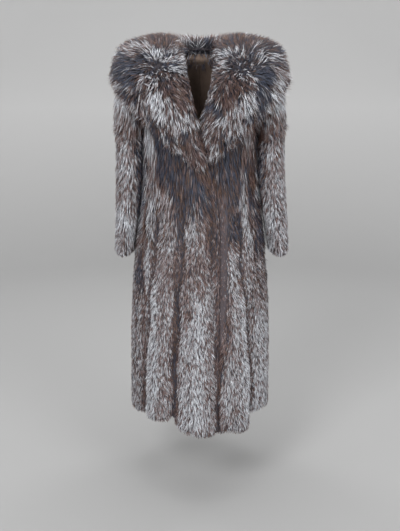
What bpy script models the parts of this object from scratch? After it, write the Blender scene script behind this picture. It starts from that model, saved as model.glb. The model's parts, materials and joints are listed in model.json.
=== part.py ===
"""A full-length fox fur coat in the hollow form that it has when it is worn.

Metres, +Z up. The coat faces -Y, and +X is the wearer's left. The origin is on the
body's axis, at the height where the shoulder seams meet the neck, which is where the
shoulders hold the coat up.

Every panel is a wall: its inner face is the skin side of the pelt, and its outer face
is where the dense fur ends. Angles round the body are counted from the centre front,
in degrees, and grow towards the wearer's left.
"""

import math
from collections import namedtuple

import bmesh
import bpy
import numpy as np

# ---------------------------------------------------------------- driving dimensions
HEM_HEIGHT = -1.230  # the hem below the neck, so the coat is 1.218 m long
WALL = 0.008  # pelt and dense underfur of the body and the sleeves
SEAM_GAP = 0.0003
SLEEVE_SEAM_GAP = 0.0021  # where a seam's end faces are not quite flat

NECK_HALF_WIDTH = 0.074
NECK_BACK_DEPTH = 0.062
NECK_BACK_RISE = 0.016
NECK_SECTIONS = 2.0  # the neck's rise and depth fade out within these sections
NECK_FADE_POWER = 1.5
LEAST_DEPTH = 0.0005
SECTION_POWER = 2.15  # 2 would be an ellipse; more is squarer

UNDERARM_HEIGHT = -0.24
SHOULDER_POINT_HEIGHT = -0.036
ARMHOLE_HALF_DEPTH = 0.060
ARMHOLE_FIRST_SECTION = 0.5  # nearer the shoulder seam than this it has no depth

LAP_EDGE = 0.064  # the right front laps this far over the centre, at the hem
UNDERLAP_EDGE = 0.030  # and the left front reaches this far under it
LAP_STEP = WALL + 0.0030  # how much deeper the left front lies under the lap
LAP_BLEND = 0.035  # width over which the left front comes back out
LAP_TOP = -0.10  # height at which the lap starts
LAP_TOP_BLEND = 0.10

HEM_CORNER_LIFT = 0.020  # the front edge's corner is rounded
HEM_CORNER_WIDTH = 0.022
HEM_CORNER_HEIGHT = 0.12
HEM_BLEND = 0.25  # height over which the hem's rises fade out
HEM_GROOVE_LIFT = 0.35  # the hem rises in a groove by this share of its depth
GROOVE_SHARE = 0.65  # the rest of a groove's depth is in its wide shoulders
SHOULDERS_WIDER = 2.6

PANEL_COLUMNS = 22
SMALL_STEP = 0.02  # in sections or degrees, to measure a surface's slope
SLEEVE_SPLAY = {"right": 0.000, "left": 0.012}  # how much further out the cuff hangs
STEEP_FROM = 0.35  # where the body's wall faces sideways by this much and more,
STEEP_BLEND = 0.5  # the sleeve's first ring stands off it and faces outwards
STEEP_CLEARANCE = 2  # and its gap at the seam is wider by this share
CROSS_SEAM_RING = 4  # the sleeve's head ends at this ring, counted from the armhole

# The body, from the shoulder seam down. The inner face of the pelt: its height at the
# neck side, how much lower it is at the arm, half the width, the depth to the front and
# to the back, where the front edge is in front of the own side, and the rows of faces
# down to the next section.
Section = namedtuple("Section", "height tilt half_width front back v_edge rows")
BODY_SECTIONS = (
    Section(0.000, 0.036, 0.190, 0.001, 0.001, 0.074, 1),
    Section(-0.012, 0.037, 0.190, 0.044, 0.046, 0.074, 1),
    Section(-0.040, 0.036, 0.187, 0.078, 0.082, 0.072, 1),
    Section(-0.080, 0.031, 0.181, 0.103, 0.104, 0.064, 1),
    Section(-0.140, 0.019, 0.174, 0.120, 0.118, 0.048, 1),
    Section(-0.200, 0.006, 0.171, 0.128, 0.120, 0.026, 1),
    Section(UNDERARM_HEIGHT, 0.000, 0.171, 0.128, 0.118, 0.008, 2),
    Section(-0.400, 0.000, 0.174, 0.119, 0.112, -0.043, 2),
    Section(-0.560, 0.000, 0.194, 0.134, 0.142, -0.062, 2),
    Section(-0.680, 0.000, 0.217, 0.154, 0.168, -0.064, 3),
    Section(-0.940, 0.000, 0.238, 0.200, 0.204, -0.064, 3),
    Section(HEM_HEIGHT, 0.000, 0.246, 0.240, 0.232, -0.064, 0),
)

# The grooves between the rolls of the skirt: where each runs, half its width, how deep
# it is at the hem, and the height at which it fades out.
Fold = namedtuple("Fold", "angle half_width depth top")
FOLDS = (
    Fold(15.0, 7.0, 0.016, -0.34),
    Fold(49.0, 6.0, 0.027, -0.48),
    Fold(82.0, 6.5, 0.019, -0.62),
    Fold(113.0, 7.0, 0.026, -0.52),
    Fold(147.0, 6.5, 0.028, -0.44),
    Fold(176.0, 6.0, 0.024, -0.56),
    Fold(-153.0, 7.0, 0.027, -0.46),
    Fold(-120.0, 6.5, 0.025, -0.50),
    Fold(-86.0, 6.5, 0.019, -0.62),
    Fold(-54.0, 6.0, 0.026, -0.46),
    Fold(-23.5, 6.0, 0.027, -0.36),
)

# The hem isn't level: where a roll of the skirt hangs shorter, and by how much.
Rise = namedtuple("Rise", "angle half_width rise")
HEM_RISES = (
    Rise(-68.0, 24.0, 0.041),
    Rise(-32.0, 14.0, 0.042),
    Rise(-14.0, 12.0, 0.022),
    Rise(24.0, 7.0, 0.018),
    Rise(64.0, 19.0, 0.058),
    Rise(129.0, 15.0, 0.014),
    Rise(-136.0, 14.0, 0.020),
)

# A sleeve below its armhole, for a cuff without splay: the side next to the body, the
# side away from it, and its reach to the front and to the back.
Ring = namedtuple("Ring", "inner_x inner_z outer_x outer_z front back")
SLEEVE_SECTIONS = (
    Ring(0.1880, -0.241, 0.222, -0.043, 0.069, 0.069),
    Ring(0.1905, -0.246, 0.249, -0.078, 0.070, 0.071),
    Ring(0.1925, -0.254, 0.262, -0.132, 0.070, 0.073),
    Ring(0.1945, -0.266, 0.266, -0.203, 0.070, 0.074),
    Ring(0.1970, -0.330, 0.268, -0.320, 0.069, 0.074),
    Ring(0.2060, -0.430, 0.270, -0.425, 0.071, 0.066),
    Ring(0.2190, -0.535, 0.274, -0.533, 0.077, 0.052),
    Ring(0.2370, -0.638, 0.279, -0.640, 0.081, 0.038),
)

MIDDLE = 0.0002  # the collar's halves stop this far from the centre back
# One half of the shawl collar, from the centre back round the neck to the end of the
# lapel: its edge at the neck, the crest where it turns over, the roll of its outer side,
# and its free edge, each as x, y and z.
COLLAR_POINTS = ("neck", "crest", "roll", "free")
COLLAR_SECTIONS = (
    ((MIDDLE, 0.050, 0.028), (MIDDLE, 0.100, 0.056), (MIDDLE, 0.168, -0.010), (MIDDLE, 0.176, -0.122)),
    ((0.034, 0.040, 0.026), (0.058, 0.086, 0.060), (0.100, 0.160, 0.000), (0.112, 0.170, -0.112)),
    ((0.052, 0.020, 0.022), (0.096, 0.052, 0.062), (0.188, 0.108, 0.020), (0.222, 0.120, -0.080)),
    ((0.058, -0.010, 0.018), (0.112, -0.004, 0.063), (0.240, 0.004, 0.034), (0.286, 0.008, -0.060)),
    ((0.055, -0.046, 0.002), (0.112, -0.062, 0.040), (0.230, -0.075, 0.006), (0.268, -0.070, -0.085)),
    ((0.045, -0.100, -0.052), (0.100, -0.130, -0.020), (0.180, -0.145, -0.060), (0.212, -0.118, -0.145)),
    ((0.031, -0.134, -0.122), (0.076, -0.166, -0.100), (0.130, -0.172, -0.130), (0.158, -0.146, -0.195)),
    ((0.011, -0.148, -0.200), (0.044, -0.176, -0.190), (0.080, -0.176, -0.210), (0.100, -0.154, -0.255)),
)
# The last section differs, because the right lapel laps over the centre.
LAPEL_ENDS = {
    "right": (
        (-0.021, -0.144, -0.318), (-0.012, -0.158, -0.318), (0.000, -0.160, -0.326), (0.010, -0.148, -0.332)
    ),
    "left": (
        (0.024, -0.140, -0.300), (0.030, -0.154, -0.300), (0.036, -0.154, -0.303), (0.043, -0.146, -0.306)
    ),
}
COLLAR_THICKNESS = (0.010, 0.034, 0.050, 0.018)  # at the points of a section
COLLAR_FULL_WIDTH = 0.16  # a narrower section is thinner in proportion,
COLLAR_LEAST_SHARE = 0.2  # down to this share of the thickness
COLLAR_ROWS = 16
COLLAR_COLUMNS_ACROSS = 8

FUR_SILVER = (0.30, 0.29, 0.30)
FUR_CHARCOAL = (0.12, 0.10, 0.11)
SMOOTH_ANGLE = 40  # an edge sharper than this stays sharp
SIDES = {"right": -1.0, "left": 1.0}  # the sign of X on each of the wearer's sides


# ---------------------------------------------------------------- tables and meshes
def body_column(wanted):
    return np.array([getattr(section, wanted) for section in BODY_SECTIONS])


def along(values, at):
    """The values of a table's column between its rows, on a smooth curve."""
    values = np.asarray(values, float)
    last = len(values) - 1
    slopes = np.gradient(values, axis=0)
    at = np.clip(np.asarray(at, float), 0.0, last)
    row = np.minimum(at.astype(int), last - 1)
    t = at - row
    if values.ndim > 1:
        t = t[:, None]
    return (
        values[row] * (2 * t**3 - 3 * t**2 + 1)
        + slopes[row] * (t**3 - 2 * t**2 + t)
        + values[row + 1] * (3 * t**2 - 2 * t**3)
        + slopes[row + 1] * (t**3 - t**2)
    )


def ease(value):
    value = np.clip(value, 0.0, 1.0)
    return value * value * (3.0 - 2.0 * value)


def grid_normals(points, closed):
    """A unit normal at each point of a grid, from the points next to it."""
    if closed:
        across = np.roll(points, -1, axis=1) - np.roll(points, 1, axis=1)
    else:
        across = np.gradient(points, axis=1)
    normals = np.cross(across, np.gradient(points, axis=0))
    return normals / np.linalg.norm(normals, axis=2, keepdims=True)


def fur_material(name, colour):
    material = bpy.data.materials.new(name)
    material.use_nodes = True
    shader = material.node_tree.nodes["Principled BSDF"]
    shader.inputs["Base Color"].default_value = (*colour, 1.0)
    shader.inputs["Roughness"].default_value = 0.75
    shader.inputs["Metallic"].default_value = 0.0
    return material


def build_wall(name, inner, outer, closed, colour):
    """One wall between two grids of points. The skin side is laid out as faces, these
    are extruded, and the new points go to the outer face."""
    rows, columns = inner.shape[:2]
    work = bmesh.new()
    points = [[work.verts.new(p) for p in row] for row in inner.tolist()]
    for r in range(rows - 1):
        for c in range(columns if closed else columns - 1):
            after = (c + 1) % columns
            work.faces.new(
                (points[r][c], points[r][after], points[r + 1][after], points[r + 1][c])
            )
    work.verts.index_update()
    home = dict(zip(range(rows * columns), outer.reshape(-1, 3).tolist()))
    start = {v.co.copy().freeze(): v.index for v in work.verts}
    made = bmesh.ops.extrude_face_region(work, geom=work.faces[:])
    for item in made["geom"]:
        if isinstance(item, bmesh.types.BMVert):
            item.co = home[start[item.co.copy().freeze()]]
    bmesh.ops.recalc_face_normals(work, faces=work.faces[:])
    mesh = bpy.data.meshes.new(name)
    work.to_mesh(mesh)
    work.free()
    mesh.shade_smooth()
    mesh.set_sharp_from_angle(angle=math.radians(SMOOTH_ANGLE))
    mesh.materials.append(fur_material(name + " fur", colour))
    piece = bpy.data.objects.new(name, mesh)
    bpy.context.scene.collection.objects.link(piece)
    return piece


# ---------------------------------------------------------------- the body
def apart(angle, centre):
    return (angle - centre + 180.0) % 360.0 - 180.0


def fold_depth(angle, height):
    """How far the grooves draw the skirt in at these angles and this height."""
    total = np.zeros_like(angle)
    for fold in FOLDS:
        away = apart(angle, fold.angle) / fold.half_width
        groove = GROOVE_SHARE * np.exp(-(away**2))
        shoulders = (1 - GROOVE_SHARE) * np.exp(-((away / SHOULDERS_WIDER) ** 2))
        grown = ease((fold.top - height) / (fold.top - HEM_HEIGHT))
        total += fold.depth * grown * (groove + shoulders)
    return total


def hem_rise(angle):
    """How much shorter than the longest roll the coat hangs at these angles."""
    total = np.zeros_like(angle)
    for roll in HEM_RISES:
        away = apart(angle, roll.angle) / roll.half_width
        total += roll.rise * np.exp(-(away**4))
    return total


def body_points(side, section, angle, is_front):
    """Points of the pelt's inner face. section counts the body's sections from the
    shoulder, and angle is counted on the own side, from the centre front."""

    def value(wanted):
        return along(body_column(wanted), section)

    half_width = value("half_width")
    depth = np.maximum(value("front" if is_front else "back"), LEAST_DEPTH)
    turn = np.radians(angle)
    round_x = np.sign(np.sin(turn)) * np.abs(np.sin(turn)) ** (2 / SECTION_POWER)
    round_y = np.abs(np.cos(turn)) ** (2 / SECTION_POWER)
    x = half_width * round_x
    y = depth * round_y * (-1.0 if is_front else 1.0)
    out = np.clip((np.abs(x) - NECK_HALF_WIDTH) / (half_width - NECK_HALF_WIDTH), 0, 1)
    z = value("height") - value("tilt") * out
    if not is_front:
        neck = np.sqrt(np.clip(1.0 - (x / NECK_HALF_WIDTH) ** 2, 0.0, 1.0))
        near_top = np.clip(1.0 - section / NECK_SECTIONS, 0.0, 1.0) ** NECK_FADE_POWER
        y = np.maximum(y, near_top * NECK_BACK_DEPTH * neck + (1 - near_top) * y)
        z = z + near_top * NECK_BACK_RISE * neck
    depth_in = fold_depth(side * angle, z)
    kept = 1 - depth_in / np.maximum(np.hypot(x, y), NECK_BACK_DEPTH)
    x, y = x * kept, y * kept
    near_hem = ease((HEM_HEIGHT + HEM_BLEND - z) / HEM_BLEND)
    z = z + near_hem * (HEM_GROOVE_LIFT * depth_in + hem_rise(side * angle))
    return np.stack([side * x, y, z], axis=-1)


def edge_angle(section, x):
    """The angle at which a section has this x, on the own side."""
    half_width = along(body_column("half_width"), section)
    share = np.sign(x) * np.abs(x / half_width) ** (SECTION_POWER / 2)
    return np.degrees(np.arcsin(share))


def armhole_angle(section, is_front):
    """The angle at which a section meets the armhole, or 90 below it."""
    height = along(body_column("height"), section)
    height = height - along(body_column("tilt"), section)
    middle = (UNDERARM_HEIGHT + SHOULDER_POINT_HEIGHT) / 2
    half = (SHOULDER_POINT_HEIGHT - UNDERARM_HEIGHT) / 2
    reach = ARMHOLE_HALF_DEPTH * np.sqrt(
        np.clip(1.0 - ((height - middle) / half) ** 2, 0.0, 1.0)
    )
    depth = along(body_column("front" if is_front else "back"), section)
    share = np.clip(reach / np.maximum(depth, LEAST_DEPTH), 0.0, 1.0)
    share = np.where(section < ARMHOLE_FIRST_SECTION, 0.0, share)
    angle = np.degrees(np.arccos(share ** (SECTION_POWER / 2)))
    return angle if is_front else 180.0 - angle


def body_rows():
    """Where the rows of points are, counted in sections from the shoulder."""
    rows = []
    for section, steps in enumerate(body_column("rows")):
        rows += [section + step / steps for step in range(int(steps))]
    return np.array(rows + [len(BODY_SECTIONS) - 1.0])


def lap(side_name, own_x, height):
    """How much deeper than the body's surface a front lies, where it is lapped."""
    if side_name == "right":
        return np.zeros_like(own_x)
    across = ease((LAP_EDGE + LAP_BLEND - own_x) / LAP_BLEND)
    return LAP_STEP * across * ease((LAP_TOP - height) / LAP_TOP_BLEND)


def body_panel(side_name, is_front):
    """The inner and outer grids of one front or one back half."""
    side = SIDES[side_name]
    rows = body_rows()
    v_edge = along(body_column("v_edge"), rows)
    if is_front:
        if side_name == "left":
            v_edge = np.maximum(v_edge, -UNDERLAP_EDGE)
        start = edge_angle(rows, v_edge)
        end = armhole_angle(rows, True)
    else:
        start = armhole_angle(rows, False)
        end = np.full_like(rows, 180.0)
    share = np.linspace(0.0, 1.0, PANEL_COLUMNS + 1)
    angle = start[:, None] + (end - start)[:, None] * share[None, :]
    section = np.repeat(rows[:, None], angle.shape[1], axis=1)

    def surface(section_at, angle_at):
        flat = body_points(side, section_at.ravel(), angle_at.ravel(), is_front)
        return flat.reshape(*angle_at.shape, 3)

    inner = surface(section, angle)
    down = surface(np.minimum(section + SMALL_STEP, rows[-1]), angle)
    down = down - surface(np.maximum(section - SMALL_STEP, 0.0), angle)
    around = surface(section, angle + SMALL_STEP) - surface(section, angle - SMALL_STEP)
    normal = side * np.cross(down, around)
    below = rows >= armhole_row()
    side_column = -1 if is_front else 0
    normal[below, side_column, 1] = 0.0
    normal[0] = (0.0, 0.0, 1.0)
    if not is_front:
        normal[:, -1, 0] = 0.0
    normal /= np.linalg.norm(normal, axis=2, keepdims=True)
    if is_front:
        own_x, height = side * inner[..., 0], inner[..., 2]
        inner = inner - normal * lap(side_name, own_x, height)[..., None]
        from_edge = own_x - v_edge[:, None]
        lift = HEM_CORNER_LIFT * np.exp(-from_edge / HEM_CORNER_WIDTH)
        near_hem = ease((HEM_HEIGHT + HEM_CORNER_HEIGHT - height) / HEM_CORNER_HEIGHT)
        inner[..., 2] += lift * near_hem
    outer = inner + WALL * normal
    seam_in = SEAM_GAP / 2 * np.array((0.0, -1.0 if is_front else 1.0, 0.0))
    for grid in (inner, outer):
        grid[below, side_column] += seam_in
        grid[0] += seam_in
        if not is_front:
            grid[:, -1, 0] = side * SEAM_GAP / 2
    return inner, outer


def armhole_row():
    return body_column("height").tolist().index(UNDERARM_HEIGHT)


# ---------------------------------------------------------------- sleeves
def sleeve_grids(side_name, front, back):
    """The inner and outer grids of a whole sleeve, from the points of its armhole."""
    side = SIDES[side_name]
    last = int(np.sum(body_rows() <= armhole_row()))
    front_in, front_out = front[0][:last, -1], front[1][:last, -1]
    back_in, back_out = back[0][:last, 0], back[1][:last, 0]
    hole_in = np.concatenate([front_in, back_in[-2:0:-1]])
    hole_out = np.concatenate([front_out, back_out[-2:0:-1]])
    hole_in[0, 1] = hole_in[last - 1, 1] = 0.0
    middle = (hole_in[0] + hole_in[last - 1]) / 2
    skin_out = (hole_out - hole_in) / WALL
    radial = hole_in - middle
    radial[:, 0] = 0.0
    radial /= np.linalg.norm(radial, axis=1, keepdims=True)
    sideways = ease((side * skin_out[:, 0] - STEEP_FROM) / STEEP_BLEND)[:, None]
    first = hole_in.copy()
    clear = SLEEVE_SEAM_GAP * (1 + STEEP_CLEARANCE * sideways[:, 0])
    first[:, 0] += side * clear + sideways[:, 0] * WALL * skin_out[:, 0]
    half_height = (hole_in[0, 2] - hole_in[last - 1, 2]) / 2
    up = (hole_in[:, 2] - middle[2]) / half_height
    turn = np.unwrap(np.arctan2(-hole_in[:, 1] / ARMHOLE_HALF_DEPTH, up))
    even = np.linspace(0.0, 2 * math.pi, len(turn), endpoint=False)
    rings = [first]
    for number, row in enumerate(SLEEVE_SECTIONS):
        drop = UNDERARM_HEIGHT - row.inner_z
        whole_drop = UNDERARM_HEIGHT - SLEEVE_SECTIONS[-1].inner_z
        splay = SLEEVE_SPLAY[side_name] * ease(drop / whole_drop)
        near = np.array((side * (row.inner_x + splay), 0.0, row.inner_z))
        far = np.array((side * (row.outer_x + splay), 0.0, row.outer_z))
        blend = min(1.0, (number + 1) / CROSS_SEAM_RING)
        at = turn * (1 - blend) + even * blend
        cosine, sine = np.cos(at), np.sin(at)
        reach = np.where(sine > 0, row.front, row.back)
        ring = (near + far) / 2 + (far - near) / 2 * cosine[:, None]
        ring[:, 1] = -reach * sine
        rings.append(ring)
    inner = np.array(rings)
    normals = grid_normals(inner, closed=True) * side
    normals[0] = skin_out * (1 - sideways) + radial * sideways
    return inner, inner + WALL * normals


def build_sleeve(side_name, front, back):
    inner, outer = sleeve_grids(side_name, front, back)
    seam = CROSS_SEAM_RING
    build_wall(
        f"sleeve_head_{side_name}",
        inner[: seam + 1],
        outer[: seam + 1],
        True,
        FUR_SILVER,
    )
    lower_in, lower_out = inner[seam:].copy(), outer[seam:].copy()
    for grid in (lower_in, lower_out):
        step = grid[1] - grid[0]
        grid[0] += SLEEVE_SEAM_GAP * step / np.linalg.norm(step, axis=1, keepdims=True)
    build_wall(f"sleeve_{side_name}", lower_in, lower_out, True, FUR_SILVER)


# ---------------------------------------------------------------- collar
def collar_grids(side_name):
    """The fur side and the underside of one half of the collar."""
    side = SIDES[side_name]
    table = np.array(COLLAR_SECTIONS + (LAPEL_ENDS[side_name],))
    stations = np.linspace(0.0, len(table) - 1.0, COLLAR_ROWS + 1)
    across = np.linspace(0.0, len(COLLAR_POINTS) - 1.0, COLLAR_COLUMNS_ACROSS + 1)
    sections = along(table.reshape(len(table), -1), stations)
    sections = sections.reshape(-1, len(COLLAR_POINTS), 3)
    top = np.array([along(points, across) for points in sections])
    top[..., 0] *= side
    normals = grid_normals(top, closed=False) * -side
    normals[0] *= (0.0, 1.0, 1.0)
    thick = along(COLLAR_THICKNESS, across)
    width = np.linalg.norm(sections[:, -1] - sections[:, 0], axis=1)
    narrow = np.clip(width / COLLAR_FULL_WIDTH, COLLAR_LEAST_SHARE, 1.0)
    under = top - normals * (thick[None, :] * narrow[:, None])[..., None]
    under[0, :, 0] = top[0, :, 0]
    return under, top


def main():
    for thing in list(bpy.data.objects):
        bpy.data.objects.remove(thing, do_unlink=True)
    for side_name in SIDES:
        front = body_panel(side_name, True)
        back = body_panel(side_name, False)
        build_wall(f"front_{side_name}", *front, False, FUR_SILVER)
        build_wall(f"back_{side_name}", *back, False, FUR_SILVER)
        build_sleeve(side_name, front, back)
        build_wall(
            f"collar_{side_name}", *collar_grids(side_name), False, FUR_CHARCOAL
        )


main()
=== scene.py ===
"""The looks of a full-length silver fox coat: its pelts, and the fur on them.

Metres, +Z up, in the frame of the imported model: the coat faces -Y, and +X is the
wearer's left. Each pelt is a thin shell on the form of its solid. Its fur is one mesh of
tapered hairs that stand in locks, and every hair takes its colour from a map of tone
across and root to tip along.
"""

import json
import math
from collections import namedtuple

import bpy
import numpy as np
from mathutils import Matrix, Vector
from mathutils.kdtree import KDTree

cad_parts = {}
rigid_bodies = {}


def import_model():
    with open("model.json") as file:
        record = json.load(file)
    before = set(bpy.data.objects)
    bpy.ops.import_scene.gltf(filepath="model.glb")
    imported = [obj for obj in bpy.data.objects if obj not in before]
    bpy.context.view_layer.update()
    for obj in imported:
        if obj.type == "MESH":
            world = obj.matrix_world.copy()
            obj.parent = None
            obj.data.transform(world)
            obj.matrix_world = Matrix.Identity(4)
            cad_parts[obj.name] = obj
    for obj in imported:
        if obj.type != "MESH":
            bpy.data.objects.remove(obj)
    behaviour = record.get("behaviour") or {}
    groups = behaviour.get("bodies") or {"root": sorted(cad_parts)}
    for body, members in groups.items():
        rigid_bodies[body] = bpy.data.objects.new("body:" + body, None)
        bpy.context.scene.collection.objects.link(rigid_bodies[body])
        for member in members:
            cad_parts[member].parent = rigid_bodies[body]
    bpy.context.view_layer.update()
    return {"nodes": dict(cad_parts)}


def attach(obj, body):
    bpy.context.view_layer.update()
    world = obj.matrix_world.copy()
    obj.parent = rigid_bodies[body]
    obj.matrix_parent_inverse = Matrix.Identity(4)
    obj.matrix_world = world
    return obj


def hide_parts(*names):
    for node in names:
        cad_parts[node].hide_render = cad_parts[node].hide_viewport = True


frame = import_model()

# ---------------------------------------------------------------- camera and studio
CAMERA_PLACE = (0.0, -2.30, -0.10)
CAMERA_PITCH = 14.5  # degrees down from level
LENS = 46.2  # millimetres, on a sensor this wide
SENSOR = 36.0

FLOOR_HEIGHT = -1.47
STUDIO_RADIUS = 4.6
STUDIO_HEIGHT = 4.2
SWEEP_RADIUS = 1.6
SWEEP_STEPS = 12
STUDIO_SIDES = 96

# ---------------------------------------------------------------- the coat
BODICE_END = -0.38  # above this the body's fur is long, dark and smooth
SKIRT_TOP = -0.62  # below this it is short, silver and in herringbone
SLEEVE_AXIS = 0.237  # distance of a sleeve's middle from the centre of the coat
CROSS_SEAM = -0.204  # where a sleeve's head is sewn to the rest, on its outer side
CROSS_SEAM_SLOPE = 0.85  # the seam drops by this much a metre towards the body
SLEEVE_OUTSIDE = 0.266  # distance of the sleeve's outer side from the centre, at the seam
WHORL = (0.128, -0.135, -0.028)  # on each side of the collar the fur lies away from here
LAP_SLANT_TOP, LAP_SLANT_END = -0.26, -0.42  # between these heights the lap's edge slants
LAP_SLANT_REACH = 0.050  # from the middle to this far over it
LAP_LEAN = 22  # degrees that the fur leans along the slant
SIDE_SEAM_LEAN = 26  # degrees that the fur leans across a side seam, to cover it
SIDE_SEAM_COVER = 0.014  # and how far from the seam it does so
UNDERLAP_END = 0.090  # the smooth front edge shows from the lap to here,
UNDERLAP_HEM_END = 0.056  # and narrows to this at the hem
SIDES = {"right": -1.0, "left": 1.0}  # the sign of X on each of the wearer's sides
SEEDS = {"right": 11, "left": 29}  # each side's first seed; its pieces count on from it

# ---------------------------------------------------------------- pelts and hairs
FUR_SIDE, SKIN_SIDE, CUT_EDGE = 0, 1, 2  # the finishes of a pelt, in this order
SAME_POINT = 0.00005  # corners of a solid nearer than this are one
QUAD_BEND, QUAD_SHAPE = 60, 80  # degrees up to which two triangles join into a quad
FUR_SIDE_BEND = 58  # degrees from face to face up to which the fur side goes on
SHARP_EDGE = 50  # degrees between two faces from which their edge is sharp
MIDDLE_EDGES, ALL_EDGES = 0.002, 1.0  # how far from the middle line sharp edges stay
ROUNDING = 2  # how many times a pelt is subdivided
COLLAR_SKIN = 0.003  # thickness of the collar's folded skin
MIDDLE_SLIT = 0.0008  # points nearer to the middle line than this are brought to it

HAIR_POINTS = 5  # two at the root, two halfway up and one at the tip
HAIR_CORNERS = 7  # of its quad and its triangle
ROOT_DEPTH = 0.0015  # how deep in the pelt a hair starts
LOCK_LIFT_SPREAD, HAIR_LIFT_SPREAD = 4, 5  # degrees
LOCK_RISE, TIP_RISE = 0.7, 0.3  # of a lock's tip and a hair's outer half: shares of lift
LOCK_LENGTHS = (0.8, 1.15)  # least and most, as a share of the length in that place
HAIR_LENGTHS = (0.7, 1.1)  # as a share of the length of the lock
HAIR_WIDTHS = (0.7, 1.25)  # as a share of the width for the kind of piece
BEND_WIDTH = 0.9  # width halfway up a hair, as a share of that at its root
HAIR_TURN = 0.5  # spread of the hairs in a lock, as a share of that of the locks
HAIR_ROLL = 0.5  # spread of the roll of a hair about its length, in radians
GATHERS = (0.15, 0.55)  # how far a hair's tip is drawn to the tip of its lock
BEND_GATHER = 0.3  # and its middle, as a share of that
SILVER_GAIN = 0.46  # how much paler silver locks are where all of them are silver
SILVER_SPREAD, DARK_SPREAD, HAIR_SPREAD = 0.09, 0.085, 0.07  # of the tones in a place
MAP_HALF = 0.003  # half the width that a hair has on the map of tones

# Most locks in a narrow fringe along the hem and the cuffs are brown: its width and the
# width over which it fades, then the share of brown locks and their tone
FRINGE, FRINGE_FADE = 0.008, 0.010
FRINGE_SHARE, FRINGE_TONE = 0.75, 0.27

# ---------------------------------------------------------------- grooves, fur and strips
# Centres of the grooves between the rolls of the skirt, in degrees from the centre
# front, and the height at which each one fades out
Groove = namedtuple("Groove", "angle top")
GROOVES = (
    Groove(-153.0, -0.46),
    Groove(-120.0, -0.50),
    Groove(-86.0, -0.62),
    Groove(-54.0, -0.46),
    Groove(-23.5, -0.36),
    Groove(15.0, -0.34),
    Groove(49.0, -0.48),
    Groove(82.0, -0.62),
    Groove(113.0, -0.52),
    Groove(147.0, -0.44),
    Groove(176.0, -0.56),
)
GROOVE_HALF = 0.012  # half the width of the crease in a groove
GROOVE_SHADE_HALF = 0.009  # and of the painted shade in it, darker fur
GROOVE_DEPTH = 0.011

# For each kind of piece: its hairs, their width, the width of its locks, that width as a
# share of a lock's length, the tone of the darkest silver locks, and how far along the
# bands of colour a hair is halfway up
Coat = namedtuple("Coat", "hairs width lock stretch bright bend")
FUR = {
    "front": Coat(44000, 0.0017, 0.0028, 0.48, 0.42, 0.5),
    "back": Coat(38000, 0.0018, 0.0030, 0.48, 0.42, 0.5),
    "sleeve_head": Coat(8000, 0.0017, 0.0038, 0.45, 0.42, 0.5),
    "sleeve": Coat(15000, 0.0017, 0.0033, 0.48, 0.42, 0.5),
    "collar": Coat(32000, 0.0016, 0.0036, 0.80, 0.69, 0.36),
}
# How the fur stands somewhere: its length, lift from the skin and spread, in degrees
Stand = namedtuple("Stand", "length lift spread")

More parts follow.
